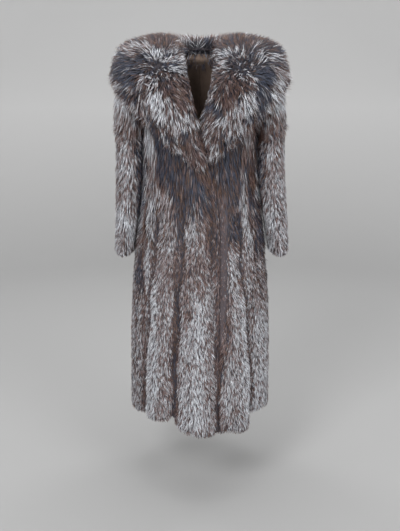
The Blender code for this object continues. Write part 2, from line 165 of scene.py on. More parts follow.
# A strip of the coat that differs: its middle at its top and bottom ends, half its
# width, the share of silver locks in it, and the tone of the others, from 0 for blue
# black through brown and mauve to 1 for white. X grows towards the wearer's left.
Strip = namedtuple("Strip", "x top x_end bottom half silver dark")
STRIP_CORE, STRIP_FADE = 0.7, 0.6  # of its half: where it starts to fade, and over how much
STRIP_END = 0.04  # each end fades out from this far inside it to this far past it
FRONT_STRIPS = (
    # the wearer's right, bodice
    # in the valley beside the sleeve: partly the fur's own navy tone, partly painted shade of the
    # valley
    Strip(-0.196, -0.10, -0.190, -0.56, 0.018, 0.60, 0.03),
    Strip(-0.182, -0.17, -0.150, -0.33, 0.018, 0.84, 0.56),
    Strip(-0.158, -0.33, -0.152, -0.43, 0.018, 0.54, 0.50),
    Strip(-0.134, -0.39, -0.140, -0.62, 0.046, 0.54, 0.28),
    Strip(-0.174, -0.43, -0.180, -0.62, 0.006, 0.12, 0.36),
    Strip(-0.098, -0.21, -0.092, -0.41, 0.040, 0.08, 0.10),
    Strip(-0.156, -0.42, -0.158, -0.62, 0.016, 0.70, 0.30),
    Strip(-0.052, -0.29, -0.056, -0.50, 0.026, 0.14, 0.18),
    Strip(-0.062, -0.41, -0.060, -0.55, 0.010, 0.08, 0.36),
    Strip(-0.070, -0.44, -0.072, -0.62, 0.004, 0.00, 0.10),
    Strip(-0.040, -0.50, -0.040, -0.60, 0.024, 0.62, 0.30),
    # across the waist, below the lapels
    Strip(-0.040, -0.25, 0.040, -0.42, 0.022, 0.05, 0.35),
    Strip(0.034, -0.45, 0.037, -0.64, 0.018, 0.20, 0.38),
    # the wearer's left, bodice
    Strip(0.104, -0.20, 0.108, -0.62, 0.038, 0.12, 0.13),
    Strip(0.156, -0.17, 0.158, -0.32, 0.020, 0.42, 0.50),
    Strip(0.172, -0.32, 0.174, -0.44, 0.014, 0.12, 0.34),
    Strip(0.140, -0.36, 0.140, -0.49, 0.014, 0.60, 0.20),
    Strip(0.138, -0.46, 0.164, -0.62, 0.013, 0.80, 0.34),
    # in the valley beside the sleeve: partly the fur's own navy tone, partly painted shade of the
    # valley
    Strip(0.198, -0.10, 0.198, -0.46, 0.018, 0.62, 0.10),
    Strip(0.196, -0.46, 0.200, -0.64, 0.018, 0.22, 0.12),
    # the skirt, from the wearer's right side to the left
    Strip(-0.244, -0.62, -0.252, -1.21, 0.009, 0.34, 0.28),
    Strip(-0.210, -0.66, -0.226, -1.21, 0.026, 0.60, 0.30),
    Strip(-0.186, -0.60, -0.194, -1.21, 0.006, 0.34, 0.44),
    Strip(-0.200, -0.62, -0.204, -0.76, 0.014, 0.20, 0.10),
    Strip(-0.160, -0.60, -0.166, -1.21, 0.020, 0.84, 0.52),
    Strip(-0.120, -0.62, -0.126, -1.21, 0.020, 0.56, 0.48),
    Strip(-0.080, -0.62, -0.084, -1.15, 0.008, 0.05, 0.34),
    Strip(-0.046, -0.62, -0.046, -0.84, 0.026, 0.46, 0.40),
    Strip(-0.046, -0.84, -0.046, -1.21, 0.026, 0.74, 0.44),
    Strip(-0.006, -0.62, -0.006, -0.76, 0.020, 0.42, 0.40),
    Strip(-0.006, -0.76, -0.006, -1.21, 0.020, 0.84, 0.46),
    Strip(0.036, -0.64, 0.037, -0.74, 0.020, 0.44, 0.44),
    Strip(0.037, -0.74, 0.038, -1.21, 0.020, 0.68, 0.50),
    Strip(0.122, -0.60, 0.126, -1.21, 0.028, 0.68, 0.42),
    Strip(0.153, -0.72, 0.160, -1.21, 0.014, 0.88, 0.48),
    Strip(0.094, -0.72, 0.096, -0.94, 0.010, 0.40, 0.42),
    Strip(0.200, -0.66, 0.206, -0.82, 0.028, 0.52, 0.30),
    Strip(0.206, -0.82, 0.214, -1.21, 0.028, 0.78, 0.42),
    Strip(0.244, -0.62, 0.252, -1.21, 0.009, 0.34, 0.28),
)
# Laid over the grooves: the lap's own fur, then the smooth edge strip beside it, which
# runs out towards the hem, with a thin dark line of painted shade on each side
EDGE_STRIPS = (
    Strip(0.038, -0.68, 0.038, -1.21, 0.013, 0.58, 0.46),
    # painted shadow of the lap's edge, on the underlap just beside it
    Strip(0.054, -0.42, 0.056, -1.06, 0.002, 0.00, 0.20),
    Strip(0.073, -0.42, 0.074, -0.66, 0.014, 0.00, 0.42),
    Strip(0.070, -0.66, 0.071, -0.92, 0.013, 0.00, 0.43),
    Strip(0.071, -0.92, 0.060, -1.08, 0.009, 0.00, 0.42),
    # painted shade of the groove beyond the smooth strip
    Strip(0.093, -0.44, 0.088, -0.70, 0.004, 0.00, 0.16),
    Strip(0.087, -0.70, 0.088, -0.92, 0.003, 0.00, 0.18),
    Strip(0.088, -0.92, 0.064, -1.08, 0.003, 0.00, 0.18),
    Strip(0.062, -1.08, 0.060, -1.21, 0.002, 0.00, 0.18),
)
BACK_STRIPS = (
    # the bodice, from the wearer's right to the left
    Strip(-0.165, -0.12, -0.160, -0.52, 0.022, 0.34, 0.05),
    Strip(-0.120, -0.12, -0.124, -0.47, 0.018, 0.68, 0.46),
    Strip(-0.100, -0.36, -0.112, -0.62, 0.014, 0.26, 0.30),
    Strip(-0.066, -0.12, -0.060, -0.68, 0.022, 0.36, 0.08),
    Strip(-0.020, -0.12, -0.020, -0.55, 0.016, 0.68, 0.46),
    Strip(0.026, -0.12, 0.028, -0.73, 0.016, 0.24, 0.20),
    Strip(0.074, -0.12, 0.072, -0.50, 0.020, 0.66, 0.20),
    Strip(0.120, -0.12, 0.112, -0.65, 0.018, 0.26, 0.34),
    Strip(0.165, -0.12, 0.162, -0.57, 0.020, 0.50, 0.04),
    # the skirt, in the same order
    Strip(-0.200, -0.54, -0.215, -1.20, 0.028, 0.56, 0.28),
    Strip(-0.128, -0.66, -0.136, -1.20, 0.030, 0.74, 0.42),
    Strip(-0.050, -0.70, -0.052, -1.20, 0.034, 0.64, 0.48),
    Strip(0.008, -0.58, 0.008, -0.94, 0.012, 0.60, 0.42),
    Strip(0.062, -0.56, 0.068, -1.20, 0.032, 0.76, 0.42),
    Strip(0.140, -0.68, 0.148, -1.20, 0.030, 0.64, 0.46),
    Strip(0.206, -0.60, 0.218, -1.20, 0.026, 0.54, 0.28),
)
# On a sleeve X is counted outwards from the centre of the coat
SLEEVE_STRIPS = (
    # the sleeve's inner side, next to the body: partly the fur's own tone, partly painted shade
    # of the valley
    Strip(0.196, -0.04, 0.202, -0.66, 0.012, 0.34, 0.08),
    Strip(0.246, -0.05, 0.248, -0.165, 0.028, 0.90, 0.50),
    Strip(0.240, -0.195, 0.242, -0.262, 0.060, 0.44, 0.34),
)

# A patch of the collar: its place across and up, half its size each way, and its
# silver share and dark tone, as above. X is counted outwards on each side.
Patch = namedtuple("Patch", "x z half_x half_z silver dark")
COLLAR_PATCHES = {
    "right": (
        Patch(0.160, 0.058, 0.110, 0.020, 0.02, 0.25),
        Patch(0.190, 0.024, 0.060, 0.016, 0.32, 0.40),
        Patch(0.100, 0.036, 0.050, 0.014, 0.04, 0.31),
        Patch(0.130, 0.006, 0.056, 0.014, 0.48, 0.14),
        Patch(0.228, -0.044, 0.044, 0.048, 0.04, 0.08),
        Patch(0.154, -0.084, 0.038, 0.028, 0.40, 0.30),
        Patch(0.070, -0.110, 0.040, 0.056, 0.04, 0.35),
        Patch(0.070, -0.034, 0.026, 0.026, 0.46, 0.14),
        Patch(0.122, -0.034, 0.034, 0.018, 0.24, 0.12),
        Patch(0.124, -0.150, 0.036, 0.050, 0.68, 0.35),
        Patch(0.060, -0.190, 0.046, 0.034, 0.46, 0.36),
        Patch(0.005, -0.280, 0.044, 0.056, 0.08, 0.38),
    ),
    "left": (
        Patch(0.110, 0.050, 0.080, 0.026, 0.02, 0.25),
        Patch(0.220, 0.048, 0.060, 0.020, 0.04, 0.22),
        Patch(0.100, 0.008, 0.046, 0.014, 0.52, 0.16),
        Patch(0.214, -0.002, 0.054, 0.020, 0.46, 0.20),
        Patch(0.202, -0.058, 0.036, 0.038, 0.04, 0.03),
        Patch(0.086, -0.100, 0.040, 0.056, 0.03, 0.35),
        Patch(0.126, -0.034, 0.034, 0.022, 0.22, 0.12),
        Patch(0.146, -0.142, 0.028, 0.036, 0.66, 0.35),
        Patch(0.190, -0.130, 0.022, 0.040, 0.10, 0.08),
        Patch(0.238, -0.104, 0.024, 0.036, 0.60, 0.30),
        Patch(0.096, -0.198, 0.040, 0.034, 0.44, 0.38),
        Patch(0.030, -0.225, 0.030, 0.044, 0.26, 0.36),
        # near-black fur at the foot of the V: painted shadow of the slit between the lapels
        Patch(0.014, -0.296, 0.010, 0.018, 0.00, 0.06),
    ),
}
BACK_PATCHES = (
    Patch(0.060, -0.010, 0.050, 0.034, 0.24, 0.28),
    Patch(0.150, 0.020, 0.050, 0.028, 0.48, 0.16),
    Patch(0.040, -0.085, 0.060, 0.030, 0.50, 0.28),
    Patch(0.170, -0.060, 0.050, 0.030, 0.24, 0.02),
    Patch(0.250, -0.050, 0.040, 0.040, 0.50, 0.20),
)


# ---------------------------------------------------------------- picking and shaping
def deselect_all():
    for thing in bpy.context.selected_objects:
        thing.select_set(False)


def only(thing):
    deselect_all()
    thing.select_set(True)
    bpy.context.view_layer.objects.active = thing


def array_of(items, name, width, kind=np.float32):
    values = np.empty(len(items) * width, kind)
    items.foreach_get(name, values)
    return values.reshape(-1, width) if width > 1 else values


def unit(vectors):
    return vectors / np.maximum(np.linalg.norm(vectors, axis=-1, keepdims=True), 1e-9)


def ease(value):
    value = np.clip(value, 0.0, 1.0)
    return value * value * (3.0 - 2.0 * value)


def ripple(points, size, seed):
    """Smooth noise between about -1 and 1, whose waves are about size long."""
    rng = np.random.default_rng(seed)
    total = np.zeros(len(points))
    for _ in range(7):
        wave = unit(rng.normal(size=3)) * 2 * math.pi / size * rng.uniform(0.6, 1.7)
        total += np.sin(points @ wave + rng.uniform(0, 2 * math.pi))
    return total / 2.6


# ---------------------------------------------------------------- materials
class Value:
    """A socket on which arithmetic adds Math nodes."""

    def __init__(self, shader, socket):
        self.shader = shader
        self.socket = socket

    def _with(self, operation, first, second):
        return self.shader.node(
            "ShaderNodeMath", {"operation": operation}, {0: first, 1: second}
        )

    def __sub__(self, other):
        return self._with("SUBTRACT", self, other)

    def __rsub__(self, other):
        return self._with("SUBTRACT", other, self)

    def __mul__(self, other):
        return self._with("MULTIPLY", self, other)

    def __rmul__(self, other):
        return self._with("MULTIPLY", other, self)

    def __truediv__(self, other):
        return self._with("DIVIDE", self, other)

    def __rtruediv__(self, other):
        return self._with("DIVIDE", other, self)

    def clamped(self):
        return self.shader.node(
            "ShaderNodeMath",
            {"operation": "ADD", "use_clamp": True},
            {0: self, 1: 0.0},
        )


class Finish:
    """One material, built a node at a time round its Principled shader."""

    def __init__(self, name):
        self.material = bpy.data.materials.new(name)
        self.material.use_nodes = True
        self.tree = self.material.node_tree
        self.principled = self.tree.nodes["Principled BSDF"]

    def give(self, socket, value):
        if isinstance(value, Value):
            self.tree.links.new(value.socket, socket)
        elif value is not None:
            socket.default_value = value

    def node(self, kind, settings, inputs, output=0):
        made = self.tree.nodes.new(kind)
        for name, value in settings.items():
            if name == "stops":
                ramp = made.color_ramp
                while len(ramp.elements) < len(value):
                    ramp.elements.new(0.5)
                for element, (place, colour) in zip(ramp.elements, value):
                    element.position = place
                    element.color = colour
            else:
                setattr(made, name, value)
        for name, value in inputs.items():
            self.give(made.inputs[name], value)
        return Value(self, made.outputs[output])

    def mix(self, factor, first, second):
        return self.node(
            "ShaderNodeMix",
            {"data_type": "RGBA"},
            {"Factor": factor, 6: first, 7: second},
            2,
        )

    def surface(self, **inputs):
        for name, value in inputs.items():
            self.give(self.principled.inputs[name.replace("_", " ")], value)
        return self.material


def shade(red, green, blue):
    """A colour given as it looks, from 0 to 255, as the light it returns."""
    parts = np.array((red, green, blue)) / 255.0
    linear = np.where(parts <= 0.04045, parts / 12.92, ((parts + 0.055) / 1.055) ** 2.4)
    return (*linear.tolist(), 1.0)


BLUE_BLACK = shade(66, 74, 94)
NEAR_BLACK = shade(48, 45, 54)
RED_BROWN = shade(84, 57, 50)
MAUVE = shade(137, 115, 113)
GREY = shade(173, 174, 179)
WHITE = shade(236, 240, 247)
TAN = shade(142, 108, 78)


def hair_finish():
    """Colour by the hair's map: tone across, root to tip along."""
    finish = Finish("silver fox hair")
    place = finish.node("ShaderNodeUVMap", {"uv_map": "OFBake"}, {})
    tone = finish.node("ShaderNodeSeparateXYZ", {}, {0: place}, 0)
    along = finish.node("ShaderNodeSeparateXYZ", {}, {0: place}, 1)
    band = finish.node(
        "ShaderNodeValToRGB",
        {
            "stops": (
                (0.00, BLUE_BLACK),
                (0.18, NEAR_BLACK),
                (0.36, RED_BROWN),
                (0.52, MAUVE),
                (0.70, GREY),
                (1.00, WHITE),
            )
        },
        {"Fac": tone},
    )
    root = finish.mix(tone, shade(24, 25, 32), shade(56, 55, 64))
    rise = ((along - 0.18) * 3.2).clamped()  # from the dark root to the band's own colour
    coloured = finish.mix(rise, root, band)
    dark_tip = ((along - 0.80) * 5.0).clamped() * 0.45
    tipped = finish.mix(dark_tip, coloured, root)
    # the outer half of a red brown hair is tan
    brown = ((tone - 0.19) * 12.0).clamped() * ((0.35 - tone) * 12.0).clamped()
    tan = brown * ((along - 0.50) * 3.2).clamped()
    return finish.surface(Base_Color=finish.mix(tan, tipped, TAN), Roughness=0.5)


def ground_finish(name, deep, pale):
    """Dense underfur, streaked the way that the hair lies."""
    finish = Finish(name)
    place = finish.node("ShaderNodeTexCoord", {}, {}, 3)
    streaks = finish.node(
        "ShaderNodeMapping", {}, {"Vector": place, "Scale": (180.0, 180.0, 30.0)}
    )
    fine = finish.node(
        "ShaderNodeTexNoise", {}, {"Vector": streaks, "Scale": 1.0, "Detail": 4.0}
    )
    broad = finish.node(
        "ShaderNodeTexNoise", {}, {"Vector": place, "Scale": 14.0, "Detail": 2.0}
    )
    colour = finish.mix(fine, deep, pale)
    colour = finish.mix((broad * 0.7).clamped(), colour, deep)
    bump = finish.node(
        "ShaderNodeBump", {}, {"Height": fine, "Strength": 0.6, "Distance": 0.002}
    )
    return finish.surface(Base_Color=colour, Roughness=0.85, Normal=bump)


def skin_finish():
    """The suede side of the pelts."""
    finish = Finish("suede side")
    place = finish.node("ShaderNodeTexCoord", {}, {}, 3)
    grain = finish.node(
        "ShaderNodeTexNoise", {}, {"Vector": place, "Scale": 420.0, "Detail": 5.0}
    )
    clouds = finish.node(
        "ShaderNodeTexNoise", {}, {"Vector": place, "Scale": 18.0, "Detail": 3.0}
    )
    colour = finish.mix(clouds, shade(96, 80, 70), shade(128, 110, 98))
    bump = finish.node(
        "ShaderNodeBump", {}, {"Height": grain, "Strength": 0.35, "Distance": 0.0006}
    )
    return finish.surface(Base_Color=colour, Roughness=0.92, Normal=bump)


HAIR = hair_finish()
GROUND = ground_finish("underfur", shade(60, 54, 60), shade(114, 105, 108))
DARK_GROUND = ground_finish("dark underfur", shade(30, 27, 32), shade(74, 66, 70))
SKIN = skin_finish()


# ---------------------------------------------------------------- pelts
def pick_faces(pelt, wanted):
    """In edit mode: selects the faces for which wanted(centres, normals) is true."""
    bpy.ops.object.mode_set(mode="OBJECT")
    faces = pelt.data.polygons
    chosen = wanted(array_of(faces, "center", 3), array_of(faces, "normal", 3))
    faces.foreach_set("select", chosen)
    bpy.ops.object.mode_set(mode="EDIT")


def farthest(direction):
    """The face that lies farthest that way, of those that face that way."""

    def wanted(centres, normals):
        facing = normals @ np.array(direction, float) > 0.8
        score = np.where(facing, centres @ np.array(direction, float), -np.inf)
        return score == score.max()

    return wanted


def copy_of_node(node, name):
    """The node's mesh as a piece of its own, merged and in quads."""
    pelt = frame["nodes"][node].copy()
    pelt.data = frame["nodes"][node].data.copy()
    for key in list(pelt.keys()):
        del pelt[key]
    pelt.parent = None
    pelt.name = name
    pelt.data.name = name
    bpy.context.scene.collection.objects.link(pelt)
    only(pelt)
    bpy.ops.mesh.customdata_custom_splitnormals_clear()
    bpy.ops.object.mode_set(mode="EDIT")
    bpy.context.tool_settings.mesh_select_mode = (False, False, True)
    bpy.ops.mesh.select_all(action="SELECT")
    bpy.ops.mesh.remove_doubles(threshold=SAME_POINT)
    bpy.ops.mesh.tris_convert_to_quads(
        face_threshold=math.radians(QUAD_BEND), shape_threshold=math.radians(QUAD_SHAPE)
    )
    bpy.ops.mesh.select_all(action="DESELECT")
    return pelt


def panel_pelt(node, name, outward):
    """A wall of the coat: its solid with a fur side, a skin side and dark edges."""
    pelt = copy_of_node(node, name)
    pelt.data.materials.clear()
    for finish in (GROUND, SKIN, DARK_GROUND):
        pelt.data.materials.append(finish)
    pick_faces(pelt, farthest(outward))
    bpy.ops.mesh.faces_select_linked_flat(sharpness=math.radians(FUR_SIDE_BEND))
    bpy.ops.object.mode_set(mode="OBJECT")
    furred = array_of(pelt.data.polygons, "select", 1, bool)
    bpy.ops.object.mode_set(mode="EDIT")
    bpy.ops.mesh.select_more()
    bpy.ops.object.mode_set(mode="OBJECT")
    rimmed = array_of(pelt.data.polygons, "select", 1, bool)
    finishes = np.where(furred, FUR_SIDE, np.where(rimmed, CUT_EDGE, SKIN_SIDE))
    pelt.data.polygons.foreach_set("material_index", finishes.astype(np.int32))
    soften(pelt, ALL_EDGES)
    return pelt


def soften(pelt, kept):
    """Rounds a pelt, but keeps its sharp edges up to that far from the middle line."""
    only(pelt)
    bpy.ops.object.mode_set(mode="EDIT")
    bpy.ops.mesh.select_mode(type="EDGE")
    bpy.ops.mesh.select_all(action="DESELECT")
    bpy.ops.mesh.edges_select_sharp(sharpness=math.radians(SHARP_EDGE))
    bpy.ops.object.mode_set(mode="OBJECT")
    sideways = np.abs(array_of(pelt.data.vertices, "co", 3)[:, 0])
    for edge in pelt.data.edges:
        edge.select = edge.select and sideways[list(edge.vertices)].max() < kept
    bpy.ops.object.mode_set(mode="EDIT")
    bpy.ops.transform.edge_crease(value=1.0)
    bpy.ops.object.mode_set(mode="OBJECT")
    smooth = pelt.modifiers.new("rounded", "SUBSURF")
    smooth.levels = ROUNDING
    smooth.render_levels = ROUNDING
    bpy.ops.object.modifier_apply(modifier=smooth.name)
    bpy.ops.object.shade_smooth()


def press_in(pelt, depth):
    """Soft troughs: moves both sides of a wall towards the wearer by depth(points)."""
    points = array_of(pelt.data.vertices, "co", 3).astype(float)
    out = unit(points * (1.0, 1.0, 0.0))
    pressed = points - out * depth(points)[:, None]
    pelt.data.vertices.foreach_set("co", pressed.astype(np.float32).ravel())
    pelt.data.update()


def close_middle(pelt):
    """Brings the edge at the centre line up to it, so that no light comes through."""
    points = array_of(pelt.data.vertices, "co", 3)
    points[np.abs(points[:, 0]) < MIDDLE_SLIT, 0] = 0.0
    pelt.data.vertices.foreach_set("co", points.ravel())
    pelt.data.update()


def collar_pelt(node, name):
    """Upper and under collar, sewn together all round: a thin folded skin."""
    pelt = copy_of_node(node, name)
    pelt.data.materials.clear()
    pelt.data.materials.append(DARK_GROUND)
    pelt.data.materials.append(SKIN)
    bpy.ops.object.mode_set(mode="OBJECT")
    faces = pelt.data.polygons
    faces.foreach_set("material_index", np.full(len(faces), FUR_SIDE, np.int32))
    soften(pelt, MIDDLE_EDGES)
    wall = pelt.modifiers.new("skin", "SOLIDIFY")
    wall.thickness = COLLAR_SKIN
    wall.offset = -1.0
    wall.material_offset = SKIN_SIDE
    only(pelt)
    bpy.ops.object.modifier_apply(modifier=wall.name)
    return pelt


# ---------------------------------------------------------------- how the fur lies
def round_angle(points):
    """Degrees round the body from the centre front, growing towards the wearer's left."""
    return np.degrees(np.arctan2(points[:, 0], -points[:, 1]))


def around_roll(points):
    """Place across a roll of the skirt, -1 and 1 at its grooves, and the nearest groove."""
    angle = round_angle(points)
    edges = np.array([groove.angle for groove in GROOVES])
    edges = np.concatenate([[edges[-1] - 360.0], edges, [edges[0] + 360.0]])
    index = np.clip(np.searchsorted(edges, angle) - 1, 0, len(edges) - 2)
    low, high = edges[index], edges[index + 1]
    nearer = index + (angle - low > high - angle) - 1
    return (2 * angle - low - high) / (high - low), nearer % len(GROOVES)


def groove_share(points, half):
    """1 in the bottom of a groove and 0 beyond about twice half from it."""
    _, nearer = around_roll(points)
    angles = np.array([groove.angle for groove in GROOVES])[nearer]
    tops = np.array([groove.top for groove in GROOVES])[nearer]
    turn = np.radians((round_angle(points) - angles + 180.0) % 360.0 - 180.0)
    away = turn * np.hypot(points[:, 0], points[:, 1])
    wander = 0.004 * ripple(points, 0.2, 21)
    return np.exp(-(((away + wander) / half) ** 2)) * ease((tops + 0.04 - points[:, 2]) / 0.16)


def crease_depth(points):
    """How far a wall is pressed in at its grooves."""
    uneven = 1.0 + 0.3 * ripple(points, 0.25, 22)
    return GROOVE_DEPTH * uneven * groove_share(points, GROOVE_HALF)


def turned(direction, normals, degrees):
    """The direction turned round the normal, towards the wearer's left at the front."""
    turn = np.radians(degrees)[:, None]
    return direction * np.cos(turn) + np.cross(normals, direction) * np.sin(turn)


def laid_on(direction, normals):
    """The direction brought down onto the surface."""
    flat = direction - normals * np.sum(direction * normals, axis=1, keepdims=True)
    return unit(flat)


def skirt_share(points):
    """0 on the bodice and 1 on the skirt."""
    return ease((BODICE_END - points[:, 2]) / (BODICE_END - SKIRT_TOP))


def body_flow(points, normals, side):
    """Down, fanned out from the middle of each roll into a herringbone."""
    out = unit(points * (1.0, 1.0, 0.0))
    down = laid_on(out * 0.25 + np.array((0.0, 0.0, -1.0)), normals)
    roll, _ = around_roll(points)
    skirt = skirt_share(points)
    fan = (5 + 9 * skirt) * np.tanh(2.4 * roll) + (5 + 5 * skirt) * ripple(points, 0.11, 3)
    seam = np.exp(-((points[:, 1] / SIDE_SEAM_COVER) ** 2)) * skirt
    fan = fan - SIDE_SEAM_LEAN * side * np.sign(points[:, 1]) * seam
    if side < 0:
        lapped = 1 - ease((np.abs(points[:, 0] - lap_line(points)) - 0.02) / 0.05)
        high = ease((points[:, 2] + 0.56) / 0.10) * (points[:, 1] < 0)
        fan = fan + LAP_LEAN * lapped * high
    return turned(down, normals, fan)


def lap_line(points):
    """X of the right front's edge above the waist, where it slants across the middle."""
    share = (LAP_SLANT_TOP - points[:, 2]) / (LAP_SLANT_TOP - LAP_SLANT_END)
    return LAP_SLANT_REACH * np.clip(share, -0.3, 1.0)


def body_stand(points, side):
    """Long and low on the bodice, shorter on the skirt, and smooth on the left edge."""
    skirt = skirt_share(points)
    groove = groove_share(points, GROOVE_HALF)
    flank = ease((np.abs(points[:, 0]) - 0.15) / 0.03) * ease((points[:, 2] + 0.66) / 0.08)
    length = (0.050 - 0.026 * skirt) * (1 - 0.3 * groove) + 0.012 * skirt * flank
    lift = (15 + 10 * skirt + 14 * flank) * (1 - 0.4 * groove)
    spread = 5 + 7 * skirt
    if side > 0:
        edge = smooth_edge(points)
        length = length * (1 - 0.4 * edge)
        lift = lift * (1 - 0.7 * edge)
        spread = spread * (1 - edge)
    return Stand(length, lift, spread)


def smooth_edge(points):
    """1 on the front edge of the left front, where the fur is short and smooth."""
    front = (points[:, 1] < 0) & (points[:, 2] < -0.40)
    low = ease((-0.72 - points[:, 2]) / 0.42)
    end = UNDERLAP_END + (UNDERLAP_HEM_END - UNDERLAP_END) * low
    return front * (1 - ease((points[:, 0] - end + 0.004) / 0.008))


def sleeve_place(points, side):
    """Degrees round a sleeve: -90 at the front, 0 on the side away from the body."""
    return np.degrees(np.arctan2(points[:, 1], side * points[:, 0] - SLEEVE_AXIS))


def below_seam(points, side):
    """0 on the head of a sleeve and 1 below its cross seam."""
    seam = CROSS_SEAM - CROSS_SEAM_SLOPE * (SLEEVE_OUTSIDE - side * points[:, 0])
    return ease((seam - points[:, 2]) / 0.02 + 0.5)


def sleeve_flow(points, normals, side):
    """Down, in four fans round the sleeve below its head."""
    down = laid_on(np.array((0.10 * side, 0.0, -1.0)), normals)
    across = ((sleeve_place(points, side) + 135.0) / 90.0) % 1.0 * 2 - 1
    below = below_seam(points, side)
    fan = side * ((6 + 6 * below) * np.tanh(2.2 * across) + 8 * (1 - below))
    return turned(down, normals, fan + 6 * ripple(points, 0.11, 4))


def sleeve_stand(points, side):
    below = below_seam(points, side)
    return Stand(0.044 - 0.016 * below, 22 + 3 * below, 7 + 4 * below)


def collar_flow(points, normals, side):
    """Away from the whorl and down at the front, outwards and down behind."""
    away = points - np.array(WHORL) * (side, 1.0, 1.0)
    reach = np.linalg.norm(away, axis=1, keepdims=True)
    front = away / np.maximum(reach, 0.03) + ease(reach / 0.14) * (0.25 * side, 0.0, -0.55)
    out = unit(points * (1.0, 0.8, 0.0))
    hang = np.clip(np.sum(out * normals, axis=1) * 1.6 + 0.25, 0.0, 2.0)
    behind = out + hang[:, None] * np.array((0.0, 0.0, -1.0))
    back = ease((points[:, 1:2] + 0.03) / 0.09)
    flow = laid_on(front * (1 - back) + behind * back, normals)
    near = np.exp(-((reach[:, 0] / 0.06) ** 2))
    wander = 20 * ripple(points, 0.09, 5) + 60 * near * ripple(points, 0.03, 6)
    return turned(flow, normals, wander)


def collar_stand(points, side):
    """Long, but short and upright round the whorl, and shorter towards the rims."""
    away = np.linalg.norm(points - np.array(WHORL) * (side, 1.0, 1.0), axis=1)
    near = np.exp(-((away / 0.070) ** 2))
    rim = ease((points[:, 2] - 0.025) / 0.03)
    under = ease((-0.10 - points[:, 2]) / 0.1)
    wide = ease((np.abs(points[:, 0]) - 0.23) / 0.04)
    length = 0.047 - 0.028 * near - 0.014 * rim - 0.008 * under - 0.012 * wide
    return Stand(length, 33 + 24 * near + 12 * rim - 9 * under, 12 + 22 * near)


# ---------------------------------------------------------------- tones
Look = namedtuple("Look", "silver dark")


def laid_over(look, other, weight):
    """The look with a strip or a patch over it, as thick as weight says."""
    silver = look.silver + (other.silver - look.silver) * weight
    dark = look.dark + (other.dark - look.dark) * weight
    return Look(silver, dark)


def shown_where(shown, new, old):
    """The new look where it is shown, and the old one elsewhere."""
    return Look(*(np.where(shown, one, other) for one, other in zip(new, old)))


def with_strips(look, strips, x, points):
    """The look with each strip laid over it, soft and a little wavy at its edges."""
    z = points[:, 2]
    x = x + 0.004 * ripple(points, 0.08, 31)
    for strip in strips:
        down = (strip.top - z) / (strip.top - strip.bottom)
        across = np.abs(x - strip.x - (strip.x_end - strip.x) * down) / strip.half
        begun = ease((strip.top + STRIP_END - z) / (2 * STRIP_END))
        not_over = ease((z - strip.bottom + STRIP_END) / (2 * STRIP_END))
        weight = 1 - ease((across - STRIP_CORE) / STRIP_FADE)
        weight *= begun * not_over
        look = laid_over(look, strip, weight)
    return look


def body_look(points, side):
    """Dark on the bodice and silver on the skirt, with its strips and painted shade in its
    grooves.
    """
    skirt = skirt_share(points)
    uneven = ripple(points * (1, 1, 0.4), 0.10, 7)
    look = Look(0.13 + 0.42 * skirt + 0.08 * uneven, 0.08 + 0.30 * skirt + 0.06 * uneven)
    front = points[:, 1] < 0
    for strips, shown in ((FRONT_STRIPS, front), (BACK_STRIPS, ~front)):
        look = shown_where(shown, with_strips(look, strips, points[:, 0], points), look)
    # painted shade: the fur in each groove is made darker and less silver
    groove = groove_share(points, GROOVE_SHADE_HALF)
    look = Look(look.silver * (1 - 0.85 * groove), look.dark * (1 - 0.6 * groove))
    return shown_where(front, with_strips(look, EDGE_STRIPS, points[:, 0], points), look)


def sleeve_look(points, side):
    """Silver over mauve, and more silver towards the cuff."""
    uneven = ripple(points * (1, 1, 0.5), 0.08, 8)
    low = ease((-0.30 - points[:, 2]) / 0.30)
    look = Look(0.60 + 0.16 * low + 0.10 * uneven, 0.42 + 0.08 * uneven)
    return with_strips(look, SLEEVE_STRIPS, side * points[:, 0], points)


def with_patches(look, patches, x, points):
    """The look with each patch laid over it: soft ovals with uneven edges."""
    uneven = 0.15 * ripple(points, 0.05, 33)
    for patch in patches:
        away = np.hypot(
            (x - patch.x) / patch.half_x, (points[:, 2] - patch.z) / patch.half_z
        )
        look = laid_over(look, patch, 1 - ease((away + uneven - 0.65) / 0.6))
    return look


def collar_look(points, side):
    """Its own patches on each side of the front, and the same ones on both behind."""
    uneven = ripple(points, 0.07, 9)
    look = Look(0.22 + 0.14 * uneven, 0.24 + 0.12 * uneven)
    x = side * points[:, 0]
    facing = with_patches(look, COLLAR_PATCHES["left" if side > 0 else "right"], x, points)
    behind = with_patches(look, BACK_PATCHES, x, points)
    back = ease((points[:, 1] - 0.01) / 0.05)
    return Look(*(one * (1 - back) + other * back for one, other in zip(facing, behind)))


# ---------------------------------------------------------------- hairs
def scatter(pelt, count, rng):
    """Points spread evenly over the pelt's fur side, their normals, and the side's area."""
    mesh = pelt.data
    mesh.calc_loop_triangles()
    corners = array_of(mesh.loop_triangles, "vertices", 3, np.int32)
    finish = array_of(mesh.loop_triangles, "material_index", 1, np.int32)
    corners = corners[finish == FUR_SIDE]
    places = array_of(mesh.vertices, "co", 3).astype(float)
    normals = array_of(mesh.vertices, "normal", 3).astype(float)
    sides = places[corners]
    area = np.linalg.norm(
        np.cross(sides[:, 1] - sides[:, 0], sides[:, 2] - sides[:, 0]), axis=1
    )
    total = np.cumsum(area)
    draws = (np.arange(count) + rng.random(count)) / count * total[-1]
    face = np.minimum(np.searchsorted(total, draws), len(total) - 1)
    share = rng.random((count, 2))
    share = np.where(share.sum(1, keepdims=True) > 1, 1 - share, share)
    weights = np.column_stack([1 - share.sum(1), share])[:, :, None]
    points = (sides[face] * weights).sum(1)
    return points, unit((normals[corners[face]] * weights).sum(1)), total[-1] / 2


